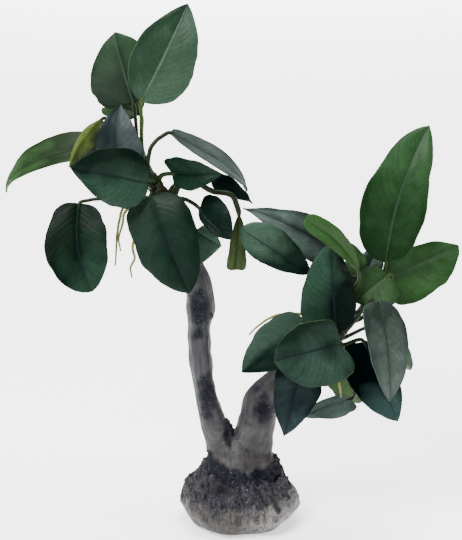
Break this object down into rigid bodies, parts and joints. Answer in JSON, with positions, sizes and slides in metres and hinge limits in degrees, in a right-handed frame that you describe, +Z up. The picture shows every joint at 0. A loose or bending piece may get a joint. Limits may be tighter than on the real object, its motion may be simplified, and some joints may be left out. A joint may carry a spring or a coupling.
{
  "type": "anubias on driftwood",
  "caption": "Two broad-leaved water plants on a forked piece of driftwood that stands in a lumpy rock foot.",
  "frame": {"origin": "middle of the rock foot's flat underside, on the surface it stands on", "axes": "+Z up, -Y towards the side that the leaves face, +X towards the lower, right-hand limb"},
  "size_m": [0.2306, 0.0843, 0.2674],
  "materials": {
    "rock": "rough",
    "wood": "matt",
    "rhizome": "satin",
    "root": "satin",
    "leaf": "satin"
  },
  "bodies": {
    "root": {"rock_foot": "rock", "driftwood_stump": "wood", "driftwood_left_limb": "wood", "driftwood_right_limb": "wood", "left_rhizome": "rhizome", "right_rhizome": "rhizome", "root_left_long": "root", "root_left_beside": "root", "root_left_inner": "root", "root_right_long": "root", "root_right_short": "root", "leaf_left_top_tall": "leaf", "leaf_left_top_back": "leaf", "leaf_left_back_small": "leaf", "leaf_left_upright": "leaf", "leaf_left_far": "leaf", "leaf_left_young": "leaf", "leaf_left_front": "leaf", "leaf_left_hanging": "leaf", "leaf_left_front_low": "leaf", "leaf_left_arching": "leaf", "leaf_left_short": "leaf", "leaf_left_inner": "leaf", "leaf_left_low": "leaf", "leaf_left_far_drop": "leaf", "leaf_left_behind_arch": "leaf", "leaf_right_tall": "leaf", "leaf_right_side": "leaf", "leaf_right_upper_left": "leaf", "leaf_right_lower_left": "leaf", "leaf_right_young_long": "leaf", "leaf_right_young_short": "leaf", "leaf_right_young_front": "leaf", "leaf_right_dark_centre": "leaf", "leaf_right_low_left": "leaf", "leaf_right_front_big": "leaf", "leaf_right_hanging": "leaf", "leaf_right_hanging_dark": "leaf", "leaf_right_back_tip": "leaf", "leaf_right_low_front": "leaf", "leaf_right_low_small": "leaf", "leaf_right_low_green": "leaf", "leaf_right_back_up": "leaf"}
  },
  "joints": []
}
